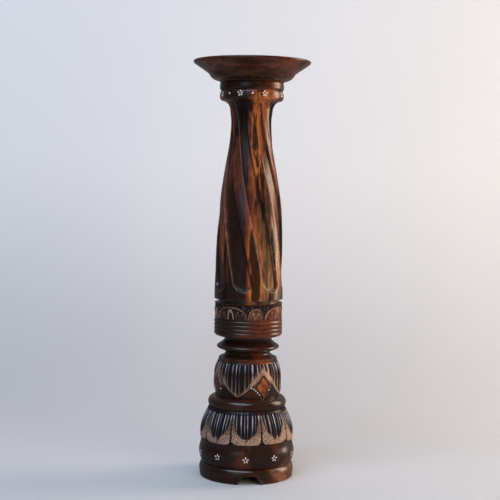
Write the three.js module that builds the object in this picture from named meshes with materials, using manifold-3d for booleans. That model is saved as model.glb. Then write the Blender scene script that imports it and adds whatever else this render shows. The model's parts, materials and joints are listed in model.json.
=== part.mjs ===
// Turned and carved wooden stand for a pillar candle, built as a stack of turnings.
// Millimetres, +Z up. The origin is the centre of the circle that the foot rests on.
//
// From the floor up: a hollow foot ring with arched cut-outs, a domed base carved with lotus
// petals, a half-round torus, a bulb carved with lappets and diamonds, a spool with a thin disc,
// a band of four reeds, a narrow carved band, a bottle-shaped column with spiral flutes and a
// collar, a neck ring, and a flared dish. One long dowel runs through the short turnings into
// the column. A tenon on the column holds the neck ring and the dish. A steel plate let into the
// floor of the dish is held by three screws, which clamp the dish and the neck ring to the
// column, and by a spike for the candle, which is screwed into the tenon.

import * as THREE from "three";
import { mergeVertices } from "three/addons/utils/BufferGeometryUtils.js";
import Module from "manifold-3d";

const wasm = await Module();
wasm.setup();

// ---- Driving dimensions ----

// Heights of the joints between the turnings.
const FOOT_TOP = 21;
const BASE_TOP = 101.5;
const TORUS_TOP = 116;
const BULB_TOP = 173.5;
const SPOOL_TOP = 204.5;
const REED_TOP = 231.5;
const BAND_TOP = 253;
const COLLAR_TOP = 557;
const NECK_TOP = 569.5;
const RIM_TOP = 600;

// Foot.
const FOOT_R = 68.6;
const FOOT_BOTTOM_R = 67.4;
const FOOT_HOLLOW_R = 44;
const ARCH_COUNT = 3;
const ARCH_FIRST = -86; // degrees from +X, just to the right of the front
const ARCH_HALF_WIDTH = 16.5;
const ARCH_HEIGHT = 14;

// Domed base and its petals.
const BASE_R = 69.2;
const PETALS = 9;
const PETAL_TIP_Z = 56.5;
const PETAL_RELIEF = 1.2;
const PETAL_FIRST = -90.3;

// Torus and bulb.
const TORUS_R = 47.9;
const TORUS_TUBE_R = 8.8;
const TORUS_MID_Z = 107.9;
const TORUS_STEPS = 5;
const BULB_R = 49.2;
const SHOULDER_R = 42.3;
const LAPPETS = 4;
const LAPPET_TIP_Z = 119;
const LAPPET_RELIEF = 1.1;
const LAPPET_FIRST = -106.5;

// Spool, reeds and carved band.
const SPOOL_LOW_R = 32.6;
const SPOOL_HIGH_R = 34;
const DISC_R = 45.2;
const DISC_Z = 188.9;
const REEDS = 4;
const REED_R = 49.5;
const REED_DEPTH = 1.4;
const REED_PITCH = 5.6;
const REED_LOW_Z = 206.8;
const BAND_R = 49.7;

// Column with its spiral flutes.
const COLUMN_FOOT_Z = 258;
const COLUMN_FOOT_R = 49.5;
const COLUMN_SPIGOT_R = 42.5;
const FLUTES = 7;
const FLUTE_LOW_Z = 269;
const FLUTE_HIGH_Z = 538;
const FLUTE_DEPTH = 4.2;
const FLUTE_HALF_SHARE = 0.68; // of half the flutes' spacing, at the low end
const FLUTE_WALL_SHARE = 0.16;
const FLUTE_TWIST = 80; // degrees, from the low end to the high end
const FLUTE_FIRST = -97.4;
const COLLAR_R = 45.8;
const SHAFT_STEPS = 13;

// Dish.
const RIM_R = 84.3;
const DISH_FLOOR_Z = 582;
const DISH_FLOOR_R = 54;
const NECK_R = 46;

// Hidden joinery.
const FIT = 0.3; // running gap round dowels, tenons and screws
const DOWEL_R = 12.5;
const DOWEL_LOW_Z = 34;
const DOWEL_HIGH_Z = 290;
const TENON_R = 14;
const TENON_TOP = 575;
const SPIKE_TIP_Z = 604;
const SPIKE_R = 3.2;
const SPIKE_SHANK_R = 2.4;
const SPIKE_LOW_Z = 538;
const SPIKE_COLLAR_R = 5;
const SPIKE_COLLAR_T = 1.4;
const PLATE_R = 25;
const PLATE_T = 1.6;
const SCREW_R = 2;
const SCREW_HEAD_R = 4;
const SCREW_HEAD_T = 2.4;
const PLATE_SCREWS = 3;
const PLATE_SCREW_CIRCLE = 19;
const PLATE_SCREW_LENGTH = 36;
const FOOT_SCREWS = 3;
const FOOT_SCREW_CIRCLE = 56;
const FOOT_SCREW_HEAD_Z = 9;
const FOOT_SCREW_LENGTH = 28;
const LAG_R = 3;
const LAG_HEAD_R = 5.5;
const LAG_HEAD_T = 4;
const LAG_TIP_Z = 72;
const WASHER_R = 9;
const WASHER_T = 1.6;
const POCKET_TOP = 28;

// Facets round a plain turning, round a small steel piece and round a screw, and steps along
// one curve of an outline.
const SEGMENTS = 32;
const STEEL_SEGMENTS = 24;
const SCREW_SEGMENTS = 12;
const CURVE_STEPS = 3;

// ---- Materials ----

const stained = (color) => new THREE.MeshStandardMaterial({ color, roughness: 0.35, metalness: 0 });
const MATERIALS = {
  dark: stained(0x2a1a14),
  column: stained(0x5a2c1a),
  carved: stained(0x6b4a38),
  raw: new THREE.MeshStandardMaterial({ color: 0xb08a5e, roughness: 0.7, metalness: 0 }),
  steel: new THREE.MeshStandardMaterial({ color: 0x8d8f92, roughness: 0.35, metalness: 1 }),
};

const model = new THREE.Group();

const place = (name, geometry, material) => {
  const mesh = new THREE.Mesh(geometry, material);
  mesh.name = name;
  model.add(mesh);
  return mesh;
};

// ---- Helpers ----

const radians = THREE.MathUtils.degToRad;
const clamp01 = (value) => Math.min(1, Math.max(0, value));
const smooth = (value) => clamp01(value) ** 2 * (3 - 2 * clamp01(value));

// Distance from the middle of the repeat that holds the angle, as -1 to 1 across that repeat.
const acrossRepeat = (degrees, first, count) => {
  const turns = ((degrees - first) * count) / 360;
  return 2 * (turns - Math.round(turns));
};

// A turning: the outline [r, z] swept round Z. carve(degrees, r, z) may give a radial offset
// and a twist in degrees for each point of the surface.
function turn(outline, { segments = SEGMENTS, carve } = {}) {
  const points = outline.map(([r, z]) => new THREE.Vector2(r, z));
  const geometry = new THREE.LatheGeometry(points, segments);
  const position = geometry.getAttribute("position");
  for (let i = 0; i < position.count; i++) {
    const column = Math.floor(i / points.length) % segments;
    const { x: r, y: z } = points[i % points.length];
    const degrees = (360 * column) / segments;
    const { offset = 0, twist = 0 } = carve && r > 0 ? carve(degrees, r, z) : {};
    const angle = radians(degrees + twist);
    position.setXYZ(i, (r + offset) * Math.cos(angle), (r + offset) * Math.sin(angle), z);
  }
  return geometry;
}

// The points of a path of lines and curves, as [r, z] pairs.
const pointsOf = (path, steps = CURVE_STEPS) => path.getPoints(steps).map((p) => [p.x, p.y]);

// A manifold-3d solid from a closed geometry, and back.
function solidOf(geometry) {
  const bare = geometry.index ? geometry.toNonIndexed() : geometry.clone();
  bare.deleteAttribute("normal");
  bare.deleteAttribute("uv");
  const merged = mergeVertices(bare, 1e-3);
  const triVerts = new Uint32Array(merged.index.array);
  const vertProperties = merged.getAttribute("position").array;
  return new wasm.Manifold(new wasm.Mesh({ numProp: 3, vertProperties, triVerts }));
}

function geometryOf(solid) {
  const { vertProperties, triVerts } = solid.getMesh();
  const geometry = new THREE.BufferGeometry();
  geometry.setAttribute("position", new THREE.BufferAttribute(vertProperties, 3));
  geometry.setIndex(new THREE.BufferAttribute(triVerts, 1));
  return geometry;
}

const cut = (geometry, tools) =>
  geometryOf(tools.reduce((body, tool) => body.subtract(solidOf(tool)), solidOf(geometry)));

// The places of a ring of screws.
const ringOf = (count, radius, firstDegrees) =>
  Array.from({ length: count }, (_, i) => {
    const angle = radians(firstDegrees + (360 * i) / count);
    return [radius * Math.cos(angle), radius * Math.sin(angle)];
  });

const PLATE_SCREW_PLACES = ringOf(PLATE_SCREWS, PLATE_SCREW_CIRCLE, 90);
const FOOT_SCREW_PLACES = ringOf(FOOT_SCREWS, FOOT_SCREW_CIRCLE, ARCH_FIRST + 180 / ARCH_COUNT);

// A countersunk wood screw along Z. Its head's flat is at headZ and its point at headZ + length,
// which is below the head for a screw driven down.
function screwOutline(headZ, length, gap = 0) {
  const way = Math.sign(length);
  const shankR = SCREW_R + gap;
  const headR = SCREW_HEAD_R + gap;
  const neckZ = headZ + way * (SCREW_HEAD_T + gap);
  const tipZ = headZ + length + way * gap;
  const outline = [
    [0, headZ],
    [headR, headZ],
    [shankR, neckZ],
    [shankR, tipZ - way * 5],
    [0, tipZ],
  ];
  return way > 0 ? outline : outline.reverse();
}

function screwAt([x, y], headZ, length, gap = 0) {
  return turn(screwOutline(headZ, length, gap), { segments: SCREW_SEGMENTS }).translate(x, y, 0);
}

const plateScrew = (spot, gap) => screwAt(spot, DISH_FLOOR_Z, -PLATE_SCREW_LENGTH, gap);
const footScrew = (spot, gap) => screwAt(spot, FOOT_SCREW_HEAD_Z, FOOT_SCREW_LENGTH, gap);

// The bore that the long dowel fills, as the inner side of a ring-shaped outline.
const BORE_R = DOWEL_R + FIT;
const bored = (outer) => {
  const low = outer[0][1];
  const high = outer[outer.length - 1][1];
  return [[BORE_R, low], ...outer, [BORE_R, high], [BORE_R, low]];
};

// ---- Foot ----

function archCutter(degrees) {
  const arch = new THREE.Shape();
  arch.moveTo(-ARCH_HALF_WIDTH, -1);
  arch.lineTo(ARCH_HALF_WIDTH, -1);
  arch.lineTo(ARCH_HALF_WIDTH, 0);
  arch.bezierCurveTo(11, 5, 8, ARCH_HEIGHT, 0, ARCH_HEIGHT);
  arch.bezierCurveTo(-8, ARCH_HEIGHT, -11, 5, -ARCH_HALF_WIDTH, 0);
  arch.closePath();
  const depth = FOOT_R + 2 - FOOT_HOLLOW_R / 2;
  const cutter = new THREE.ExtrudeGeometry(arch, { depth, bevelEnabled: false, curveSegments: 6 });
  cutter.rotateX(Math.PI / 2); // the arch stands up and its depth runs along -Y
  cutter.translate(0, -FOOT_HOLLOW_R / 2, 0);
  return cutter.rotateZ(radians(degrees + 90));
}

function footRing() {
  const wall = new THREE.Path();
  wall.moveTo(FOOT_BOTTOM_R - 1, 0);
  wall.lineTo(FOOT_BOTTOM_R, 1);
  wall.lineTo(FOOT_R, 11);
  wall.bezierCurveTo(FOOT_R, 16, 66.5, 20.5, 63.5, FOOT_TOP);
  const outline = [
    [FOOT_HOLLOW_R, 0],
    ...pointsOf(wall),
    [FOOT_HOLLOW_R, FOOT_TOP],
    [FOOT_HOLLOW_R, 0],
  ];
  const arches = Array.from({ length: ARCH_COUNT }, (_, i) =>
    archCutter(ARCH_FIRST + (360 * i) / ARCH_COUNT),
  );
  const heads = FOOT_SCREW_PLACES.map(([x, y]) =>
    new THREE.CylinderGeometry(SCREW_HEAD_R + 1, SCREW_HEAD_R + 1, 2 * FOOT_SCREW_HEAD_Z, SCREW_SEGMENTS)
      .rotateX(Math.PI / 2)
      .translate(x, y, 0),
  );
  const shanks = FOOT_SCREW_PLACES.map((spot) => footScrew(spot, FIT));
  return cut(turn(outline), [...arches, ...heads, ...shanks]);
}

place("foot_ring", footRing(), MATERIALS.dark);

// ---- Domed base with petals ----

function lotusBase() {
  const wall = new THREE.Path();
  wall.moveTo(63.5, FOOT_TOP);
  wall.bezierCurveTo(67, 23, 68.6, 29, BASE_R, 36);
  wall.bezierCurveTo(BASE_R + 0.2, 42, 68, 49, 67.8, PETAL_TIP_Z);
  wall.bezierCurveTo(68.8, 72, 65.6, 84, 55.2, BASE_TOP);
  const outline = [
    [WASHER_R + 1, POCKET_TOP],
    [WASHER_R + 1, FOOT_TOP],
    ...pointsOf(wall),
    [BORE_R, BASE_TOP],
    [BORE_R, DOWEL_LOW_Z - FIT],
    [LAG_R + FIT, DOWEL_LOW_Z - FIT],
    [LAG_R + FIT, POCKET_TOP],
    [WASHER_R + 1, POCKET_TOP],
  ];
  const carve = (degrees, r, z) => {
    if (r < 50 || z > 97 || z < 40) return {};
    const across = Math.abs(acrossRepeat(degrees, PETAL_FIRST + 180 / PETALS, PETALS));
    const edgeZ = PETAL_TIP_Z + 9 * across ** 4;
    const groove = across > 0.9 ? 1.4 : 0;
    return { offset: z < edgeZ - 1 ? -PETAL_RELIEF * smooth((z - 40) / 8) : -groove };
  };
  const shanks = FOOT_SCREW_PLACES.map((spot) => footScrew(spot, FIT));
  return cut(turn(outline, { segments: 6 * PETALS, carve }), shanks);
}

place("lotus_base", lotusBase(), MATERIALS.carved);

// ---- Torus ----

function torusRing() {
  const wall = new THREE.Path();
  const lowAngle = Math.asin((BASE_TOP - TORUS_MID_Z) / TORUS_TUBE_R);
  const highAngle = Math.asin((TORUS_TOP - TORUS_MID_Z) / TORUS_TUBE_R);
  wall.absarc(TORUS_R, TORUS_MID_Z, TORUS_TUBE_R, lowAngle, highAngle, false);
  const outer = pointsOf(wall, TORUS_STEPS);
  outer[0][1] = BASE_TOP;
  outer[outer.length - 1][1] = TORUS_TOP;
  return turn(bored(outer));
}

place("torus_ring", torusRing(), MATERIALS.dark);

// ---- Bulb with lappets and diamonds ----

function lotusBulb() {
  const wall = new THREE.Path();
  wall.moveTo(47, TORUS_TOP);
  wall.bezierCurveTo(48.6, 121, BULB_R, 126, BULB_R, 133);
  wall.bezierCurveTo(BULB_R, 153, 48.2, 160, 43.4, 168.5);
  wall.lineTo(SHOULDER_R, 169.5);
  wall.lineTo(SHOULDER_R, BULB_TOP - 1);
  wall.lineTo(SHOULDER_R - 1, BULB_TOP);
  const carve = (degrees, r, z) => {
    if (r < 40 || z > 167 || z < TORUS_TOP + 1) return {};
    const across = Math.abs(acrossRepeat(degrees, LAPPET_FIRST, LAPPETS));
    const edgeZ = LAPPET_TIP_Z + 36 * across;
    return { offset: z < edgeZ ? -LAPPET_RELIEF : 0 };
  };
  return turn(bored(pointsOf(wall, 4)), { segments: 14 * LAPPETS, carve });
}

place("lotus_bulb", lotusBulb(), MATERIALS.carved);

// ---- Spool with its disc ----

function waistSpool() {
  const wall = new THREE.Path();
  wall.moveTo(SPOOL_LOW_R + 7, BULB_TOP);
  wall.quadraticCurveTo(SPOOL_LOW_R, 177.5, SPOOL_LOW_R, 180);
  wall.quadraticCurveTo(SPOOL_LOW_R, 183, 40, 184.9);
  wall.lineTo(DISC_R - 1.6, 186.6);
  wall.quadraticCurveTo(DISC_R, 187.4, DISC_R, DISC_Z);
  wall.quadraticCurveTo(DISC_R, 190.2, DISC_R - 1.6, 191.4);
  wall.quadraticCurveTo(36, 196, SPOOL_HIGH_R, 199.5);
  wall.lineTo(SPOOL_HIGH_R + 1.6, SPOOL_TOP);
  return turn(bored(pointsOf(wall, 2)));
}

place("waist_spool", waistSpool(), MATERIALS.dark);

// ---- Band of reeds ----

function reededBand() {
  const groove = REED_R - REED_DEPTH;
  const outer = [[groove - 4, SPOOL_TOP], [groove - 0.6, REED_LOW_Z - 1.2]];
  for (let reed = 0; reed < REEDS; reed++)
    for (const [share, rise] of [[0, 0], [0.3, REED_DEPTH], [0.7, REED_DEPTH]])
      outer.push([groove + rise, REED_LOW_Z + REED_PITCH * (reed + share)]);
  outer.push([groove, REED_LOW_Z + REED_PITCH * REEDS], [groove, REED_TOP]);
  return turn(bored(outer));
}

place("reeded_band", reededBand(), MATERIALS.dark);

// ---- Narrow carved band ----

function carvedBand() {
  const outer = [
    [REED_R - REED_DEPTH, REED_TOP],
    [BAND_R - 1, 239],
    [BAND_R, 245],
    [BAND_R, BAND_TOP - 1.4],
    [BAND_R - 1.2, BAND_TOP],
  ];
  return turn(bored(outer));
}

place("carved_band", carvedBand(), MATERIALS.carved);

// ---- Column with spiral flutes ----

// Twist of the flutes at a height: a little steeper towards the top.
function fluteTwist(z) {
  const share = clamp01((z - FLUTE_LOW_Z) / (FLUTE_HIGH_Z - FLUTE_LOW_Z));
  return -FLUTE_TWIST * (0.85 * share + 0.15 * share ** 2);
}

function columnWall() {
  const profile = new THREE.SplineCurve(
    [
      [COLUMN_FOOT_R, 260],
      [48.4, 318],
      [47, 362],
      [43.7, 403],
      [37.8, 441],
      [31.4, 480],
      [28.8, 511],
      [31, 532],
    ].map(([r, z]) => new THREE.Vector2(r, z)),
  );
  const shaft = profile.getPoints(SHAFT_STEPS).map((p) => [p.x, p.y]);
  const collar = new THREE.Path();
  collar.moveTo(32.6, 536);
  collar.quadraticCurveTo(35.5, 541.5, 41.5, 542.6);
  collar.quadraticCurveTo(COLLAR_R - 0.4, 543.4, COLLAR_R, 547.5);
  collar.quadraticCurveTo(COLLAR_R + 0.4, 555, 43.5, COLLAR_TOP);
  return [...shaft, ...pointsOf(collar)];
}

function column() {
  const outline = [
    [0, DOWEL_HIGH_Z + FIT],
    [BORE_R, DOWEL_HIGH_Z + FIT],
    [BORE_R, BAND_TOP],
    [COLUMN_SPIGOT_R, BAND_TOP],
    [COLUMN_SPIGOT_R, COLUMN_FOOT_Z],
    [COLUMN_FOOT_R - 1, COLUMN_FOOT_Z],
    ...columnWall(),
    [TENON_R, COLLAR_TOP],
    [TENON_R, TENON_TOP],
    [SPIKE_SHANK_R + FIT, TENON_TOP],
    [SPIKE_SHANK_R + FIT, SPIKE_LOW_Z - FIT],
    [0, SPIKE_LOW_Z - FIT],
  ];
  const carve = (degrees, r, z) => {
    const onFlutes = r > 25 && z > FLUTE_LOW_Z && z < FLUTE_HIGH_Z;
    const across = Math.abs(acrossRepeat(degrees, FLUTE_FIRST, FLUTES));
    const share = clamp01((z - FLUTE_LOW_Z) / (FLUTE_HIGH_Z - FLUTE_LOW_Z));
    const halfWidth = FLUTE_HALF_SHARE - 0.2 * share;
    const ends = smooth((z - FLUTE_LOW_Z) / 8) * smooth((FLUTE_HIGH_Z - z) / 20);
    const depth = FLUTE_DEPTH * (1 - 0.35 * share) * ends;
    const offset = onFlutes ? -depth * smooth((halfWidth - across) / FLUTE_WALL_SHARE) : 0;
    return { offset, twist: fluteTwist(z) };
  };
  const body = turn(outline, { segments: 8 * FLUTES, carve });
  return cut(body, PLATE_SCREW_PLACES.map((spot) => plateScrew(spot, FIT)));
}

place("column", column(), MATERIALS.column);

// ---- Neck ring and dish ----

const TENON_HOLE_R = TENON_R + FIT;

function neckRing() {
  const wall = new THREE.Path();
  wall.moveTo(43.5, COLLAR_TOP);
  wall.quadraticCurveTo(NECK_R + 0.6, 558, NECK_R, 563);
  wall.quadraticCurveTo(NECK_R, 568.5, 44.4, NECK_TOP);
  const outline = [
    [TENON_HOLE_R, COLLAR_TOP],
    ...pointsOf(wall),
    [TENON_HOLE_R, NECK_TOP],
    [TENON_HOLE_R, COLLAR_TOP],
  ];
  return cut(turn(outline), PLATE_SCREW_PLACES.map((spot) => plateScrew(spot, FIT)));
}

place("neck_ring", neckRing(), MATERIALS.dark);

function dripDish() {
  const seatR = PLATE_R + FIT;
  const seatZ = DISH_FLOOR_Z - PLATE_T;
  const under = new THREE.Path();
  under.moveTo(TENON_HOLE_R, NECK_TOP);
  under.lineTo(46.4, NECK_TOP);
  under.lineTo(47.8, 571);
  under.bezierCurveTo(54, 572.2, 57, 573.6, 60.3, 578);
  under.bezierCurveTo(61.6, 580, 62.5, 582, 65, 583.4);
  under.lineTo(82, 595);
  under.quadraticCurveTo(RIM_R, 596.8, RIM_R, 598.2);
  under.quadraticCurveTo(RIM_R - 0.4, RIM_TOP, 82.6, RIM_TOP);
  const inside = new THREE.Path();
  inside.moveTo(80.6, RIM_TOP - 0.6);
  inside.bezierCurveTo(72, 594, 62, 584, DISH_FLOOR_R, DISH_FLOOR_Z);
  const outline = [
    ...pointsOf(under),
    ...pointsOf(inside, 4),
    [seatR, DISH_FLOOR_Z],
    [seatR, seatZ],
    [SPIKE_SHANK_R + FIT, seatZ],
    [SPIKE_SHANK_R + FIT, TENON_TOP + FIT],
    [TENON_HOLE_R, TENON_TOP + FIT],
    [TENON_HOLE_R, NECK_TOP],
  ];
  return cut(turn(outline), PLATE_SCREW_PLACES.map((spot) => plateScrew(spot, FIT)));
}

place("drip_dish", dripDish(), MATERIALS.dark);

// ---- Hidden dowel ----

function coreDowel() {
  const chamfer = 1.5;
  return turn([
    [0, LAG_TIP_Z + 2],
    [LAG_R + FIT, LAG_TIP_Z - 4],
    [LAG_R + FIT, DOWEL_LOW_Z],
    [DOWEL_R - chamfer, DOWEL_LOW_Z],
    [DOWEL_R, DOWEL_LOW_Z + chamfer],
    [DOWEL_R, DOWEL_HIGH_Z - chamfer],
    [DOWEL_R - chamfer, DOWEL_HIGH_Z],
    [0, DOWEL_HIGH_Z],
  ]);
}

place("core_dowel", coreDowel(), MATERIALS.raw);

// ---- Steel plate, spike, screws and washer ----

// A flat round plate with a hole, from lowZ up to highZ.
function roundPlate(radius, holeR, lowZ, highZ) {
  const outline = [[holeR, lowZ], [radius, lowZ], [radius, highZ], [holeR, highZ], [holeR, lowZ]];
  return turn(outline, { segments: STEEL_SEGMENTS });
}

function spikePlate() {
  const plate = roundPlate(PLATE_R, SPIKE_SHANK_R + FIT, DISH_FLOOR_Z - PLATE_T, DISH_FLOOR_Z);
  return cut(plate, PLATE_SCREW_PLACES.map((spot) => plateScrew(spot, FIT)));
}

place("spike_plate", spikePlate(), MATERIALS.steel);

function candleSpike() {
  return turn(
    [
      [0, SPIKE_LOW_Z],
      [SPIKE_SHANK_R, SPIKE_LOW_Z + 5],
      [SPIKE_SHANK_R, DISH_FLOOR_Z],
      [SPIKE_COLLAR_R, DISH_FLOOR_Z],
      [SPIKE_COLLAR_R, DISH_FLOOR_Z + SPIKE_COLLAR_T],
      [SPIKE_R, DISH_FLOOR_Z + SPIKE_COLLAR_T],
      [SPIKE_R - 0.4, DISH_FLOOR_Z + 8],
      [0, SPIKE_TIP_Z],
    ],
    { segments: SCREW_SEGMENTS },
  );
}

place("candle_spike", candleSpike(), MATERIALS.steel);

PLATE_SCREW_PLACES.forEach((spot, i) =>
  place(`plate_screw_${i + 1}`, plateScrew(spot), MATERIALS.steel),
);
FOOT_SCREW_PLACES.forEach((spot, i) =>
  place(`foot_screw_${i + 1}`, footScrew(spot), MATERIALS.steel),
);

const baseWasher = () => roundPlate(WASHER_R, LAG_R + FIT, POCKET_TOP - WASHER_T, POCKET_TOP);

place("base_washer", baseWasher(), MATERIALS.steel);

function baseScrew() {
  const headTopZ = POCKET_TOP - WASHER_T;
  return turn(
    [
      [0, headTopZ - LAG_HEAD_T],
      [LAG_HEAD_R, headTopZ - LAG_HEAD_T],
      [LAG_HEAD_R, headTopZ],
      [LAG_R, headTopZ],
      [LAG_R, LAG_TIP_Z - 6],
      [0, LAG_TIP_Z],
    ],
    { segments: SCREW_SEGMENTS },
  );
}

place("base_screw", baseScrew(), MATERIALS.steel);

export default model;
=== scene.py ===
"""Dresses a turned and carved wooden candlestick: its wood, its carving, its paint and its steel.

Lengths inside the shape functions are millimetres, and turns are degrees from the front of the
stand (-Y), positive towards +X. The meshes are made in metres, in the frame of the CAD parts.
"""

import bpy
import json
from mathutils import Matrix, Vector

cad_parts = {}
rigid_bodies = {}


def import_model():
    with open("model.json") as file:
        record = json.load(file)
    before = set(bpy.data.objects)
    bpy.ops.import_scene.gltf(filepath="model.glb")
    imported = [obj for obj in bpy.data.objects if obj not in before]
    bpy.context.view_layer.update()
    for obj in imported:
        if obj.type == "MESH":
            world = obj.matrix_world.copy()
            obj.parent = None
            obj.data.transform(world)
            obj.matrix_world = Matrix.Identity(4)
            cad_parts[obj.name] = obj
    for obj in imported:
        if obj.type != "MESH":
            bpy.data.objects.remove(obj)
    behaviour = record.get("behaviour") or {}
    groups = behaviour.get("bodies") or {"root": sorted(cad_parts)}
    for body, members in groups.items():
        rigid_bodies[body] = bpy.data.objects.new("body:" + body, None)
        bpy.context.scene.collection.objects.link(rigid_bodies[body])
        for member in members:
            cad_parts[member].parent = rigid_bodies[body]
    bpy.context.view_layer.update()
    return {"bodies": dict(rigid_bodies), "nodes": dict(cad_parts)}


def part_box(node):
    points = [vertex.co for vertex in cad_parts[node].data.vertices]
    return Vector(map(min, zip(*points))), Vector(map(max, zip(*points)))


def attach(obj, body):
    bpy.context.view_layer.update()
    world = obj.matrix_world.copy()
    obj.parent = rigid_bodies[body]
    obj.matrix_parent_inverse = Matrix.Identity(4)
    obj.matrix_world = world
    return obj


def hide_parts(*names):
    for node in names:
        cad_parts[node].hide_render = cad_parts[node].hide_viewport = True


bl_info = {
    "name": "Carved Candlestick",
    "version": (1, 0, 0),
    "blender": (4, 5, 0),
    "location": "View3D > Sidebar > Candlestick",
    "description": "Builds the carved, stained and painted surface of a turned wooden candlestick",
    "category": "Add Mesh",
}

import json
import math
from functools import partial

import bmesh
import bpy
import numpy as np
from bpy.props import FloatProperty, FloatVectorProperty, IntProperty, PointerProperty
from mathutils import Matrix, Vector

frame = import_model()

MM = 0.001
BODY = next(iter(frame["bodies"]))
SHARP = math.radians(38)
FIT = 0.3  # clearance of the dowel, the tenon and the plate in their holes
TENON = 14.0  # radius of the tenon on top of the column
SHANK_HOLE = 2.7  # radius of the hole for the shank of the spike
SEGMENTS = 256  # round a plain ring
GRAIN_DEPTH = 0.00022  # metres, of the grain and the specks in the bump of the stained wood
DOWEL_GRAIN_DEPTH = 0.0002
SANDING = 0.12  # depth of the unevenness of hand sanding

# ---- Sizes and colours that a user may change ----


def measure(name, description, default, **settings):
    return FloatProperty(name=name, description=description, default=default, **settings)


def millimetres(name, description, default):
    return measure(name, description, default, min=0.0, max=500.0)


def colour(name, description, default):
    return FloatVectorProperty(
        name=name, description=description, default=default, subtype="COLOR", size=3, min=0, max=1
    )


def degrees(name, description, default):
    return measure(name, description, math.radians(default), subtype="ANGLE", unit="ROTATION")


class CandlestickCarving(bpy.types.PropertyGroup):
    """Depths and counts of the carving."""

    flutes: IntProperty(name="Flutes", description="Spiral flutes round the column", default=7)
    flute_depth: millimetres("Flute Depth", "Depth of a flute in the column, in millimetres", 4.8)
    flute_twist: degrees("Flute Twist", "Turn of a flute from its low end to its high end", 80)
    petals: IntProperty(name="Petals", description="Petals round the domed base", default=9)
    petal_relief: millimetres("Petal Relief", "Height of a petal over the plain wood", 1.4)
    gouge_depth: millimetres("Gouge Depth", "Depth of the gouges in petals and lappets", 1.5)
    lappets: IntProperty(name="Lappets", description="Lappets round the bulb", default=4)
    arches: IntProperty(name="Arches", description="Arched cut-outs in the foot", default=3)
    reeds: IntProperty(name="Reeds", description="Reeds in the plain band", default=4)


class CandlestickFinish(bpy.types.PropertyGroup):
    """Colours of the stain, the rubbed wood and the paint, and of the painted shade and highlights.
    """

    # The colour of the hollows stands for dark stain and painted shade.
    hollow_stain_and_shade: colour("Hollow Stain and Shade", "Stain and painted shade in the hollows", (0.008, 0.0065, 0.008))
    dark_stain: colour("Dark Stain", "Stain on the turned parts", (0.027, 0.0115, 0.0065))
    red_stain: colour("Red Stain", "Red-brown figure of the wood", (0.18, 0.043, 0.017))
    orange_stain: colour("Orange Stain", "Bright figure of the wood", (0.50, 0.135, 0.030))
    sapwood: colour("Sapwood", "Pale figure on the sapwood side", (0.42, 0.205, 0.078))
    rubbed_wood: colour("Rubbed Wood", "Wood sanded bare on the carving", (0.74, 0.47, 0.34))
    # A painted highlight: the pale bluish colour of the ridges between gouges and of the flutes'
    # arrises, where they catch the light.
    ridge_highlight: colour("Ridge Highlight", "Painted highlight on the ridges between gouges", (0.84, 0.78, 0.90))
    paint: colour("Paint", "Off-white painted flowers and dots", (0.95, 0.91, 0.87))


class CandlestickStudio(bpy.types.PropertyGroup):
    """The camera and the lights."""

    distance: measure("Camera Distance", "From the camera to the stand", 1.6565, unit="LENGTH")
    height: measure("Camera Height", "Height of the camera", 0.434, unit="LENGTH")
    pitch: degrees("Camera Pitch", "How far the camera looks down", 3.65)
    roll: degrees("Camera Roll", "Turn of the camera about its own axis", 0.9)
    lens: measure("Lens", "Focal length", 82.44, unit="CAMERA", min=1, max=400)
    warm_power: measure("Warm Power", "Warm light from the right", 23, unit="POWER")
    fill_power: measure("Fill Power", "Warm light from the right front", 24.5, unit="POWER")
    sky_power: measure("Sky Power", "Blue light from overhead", 27, unit="POWER")
    side_power: measure("Side Power", "Blue light from the left front", 2.5, unit="POWER")
    dim_light: measure("Dim Light", "Light of the surroundings on the stand", 0.03)
    backdrop_glow: measure("Backdrop Glow", "Light of the backdrop behind the stand", 0.22)


# ---- Outlines ----


def line(start, end, step=2.0):
    """Points [radius, height] on a straight line, without its end."""
    count = max(1, math.ceil(math.dist(start, end) / step))
    return [
        (start[0] + (end[0] - start[0]) * i / count, start[1] + (end[1] - start[1]) * i / count)
        for i in range(count)
    ]


def bend(a, b, c, d, step=1.0):
    """Points on a cubic curve with the control points a, b, c and d, without its end."""
    a, b, c, d = (np.array(p, float) for p in (a, b, c, d))
    rough = math.dist(a, b) + math.dist(b, c) + math.dist(c, d)
    count = max(3, math.ceil(rough / step))
    t = np.arange(count)[:, None] / count
    s = 1 - t
    return [tuple(p) for p in s**3 * a + 3 * s * s * t * b + 3 * s * t * t * c + t**3 * d]


def quad(a, b, c, step=1.0):
    """Points on a quadratic curve, without its end."""
    a, b, c = (np.array(p, float) for p in (a, b, c))
    return bend(a, a + (b - a) * 2 / 3, c + (b - c) * 2 / 3, c, step)


def arc(centre, radius, low, high, step=0.8):
    """Points on an arc between two angles in degrees, without its end."""
    count = max(4, math.ceil(abs(math.radians(high - low)) * radius / step))
    angles = np.radians(low + (high - low) * np.arange(count) / count)
    return [(centre[0] + radius * math.cos(a), centre[1] + radius * math.sin(a)) for a in angles]


def through(points, steps):
    """A smooth line through points, without its last point, with a step for each stretch."""
    points = [np.array(p, float) for p in points]
    ends = [2 * points[0] - points[1], *points, 2 * points[-1] - points[-2]]
    out = []
    for before, a, b, after, step in zip(ends, ends[1:], ends[2:], ends[3:], steps):
        out += bend(a, a + (b - before) / 6, b - (after - a) / 6, b, step)
    return out


def path(start, *stretches):
    """Points from a start along stretches of (step, *points), with the last point.

    One point makes a straight stretch, two make a quadratic curve and three a cubic one.
    """
    out = []
    for step, *points in stretches:
        out += (line, quad, bend)[len(points) - 1](start, *points, step)
        start = points[-1]
    return [*out, start]


def room(node):
    """Lowest and highest height and largest radius of a CAD node, in millimetres."""
    low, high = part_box(node)
    return low.z / MM, high.z / MM, max(high.x, high.y) / MM


BORE = room("core_dowel")[2] + FIT


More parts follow.
